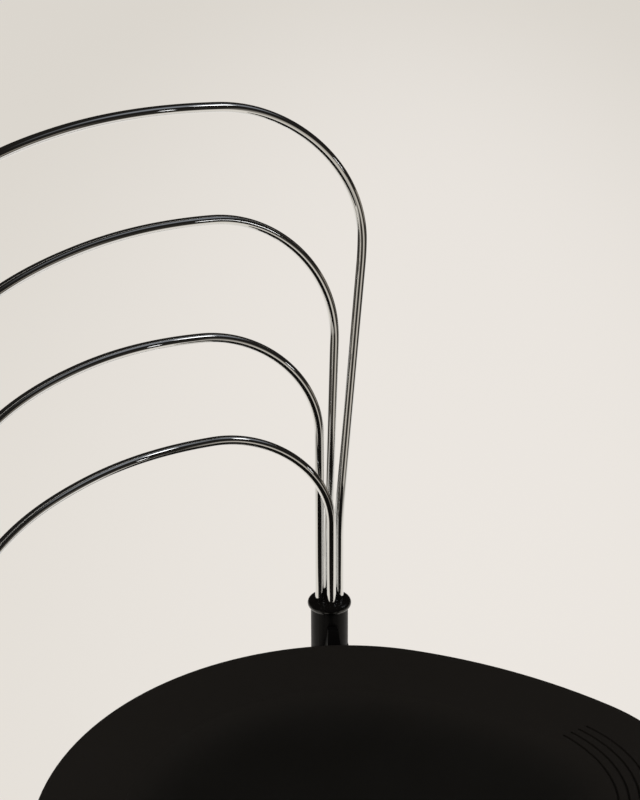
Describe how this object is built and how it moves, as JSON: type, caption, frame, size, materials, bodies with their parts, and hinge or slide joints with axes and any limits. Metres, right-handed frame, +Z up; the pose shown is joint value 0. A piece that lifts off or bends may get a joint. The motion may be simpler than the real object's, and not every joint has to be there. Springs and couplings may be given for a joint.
{
  "type": "rod-back side chair",
  "caption": "Side chair with a black dished seat on a black tubular frame and an open back of nested chromed arches that rise from flanged sockets.",
  "frame": {"origin": "centre of the overall bounding box's base, on the floor", "axes": "+Z up, -Y the front of the chair, +X the sitter's left; the chair is symmetric across x = 0"},
  "size_m": [0.4478, 0.4106, 0.8347],
  "materials": {
    "seat_black": "matt, finely grained moulding",
    "rod_chrome": "polished chromium plate",
    "frame_black": "satin black powder coat",
    "cap_black": "glossy moulding",
    "glide_black": "matt moulding",
    "fastener_zinc": "bright zinc plate"
  },
  "bodies": {
    "root": {"seat_shell": "seat_black", "back_rod_top": "rod_chrome", "back_rod_upper": "rod_chrome", "back_rod_lower": "rod_chrome", "back_rod_bottom": "rod_chrome", "rod_cap_left": "cap_black", "rear_leg_left": "frame_black", "front_leg_left": "frame_black", "rear_seat_arm_left": "frame_black", "front_seat_plate_left": "frame_black", "side_rail_left": "frame_black", "foot_glide_rear_left": "glide_black", "foot_glide_front_left": "glide_black", "rod_cap_right": "cap_black", "rear_leg_right": "frame_black", "front_leg_right": "frame_black", "rear_seat_arm_right": "frame_black", "front_seat_plate_right": "frame_black", "side_rail_right": "frame_black", "foot_glide_rear_right": "glide_black", "foot_glide_front_right": "glide_black", "front_rail": "frame_black", "rear_rail": "frame_black", "seat_screws": "fastener_zinc", "seat_washers": "fastener_zinc"}
  },
  "joints": []
}
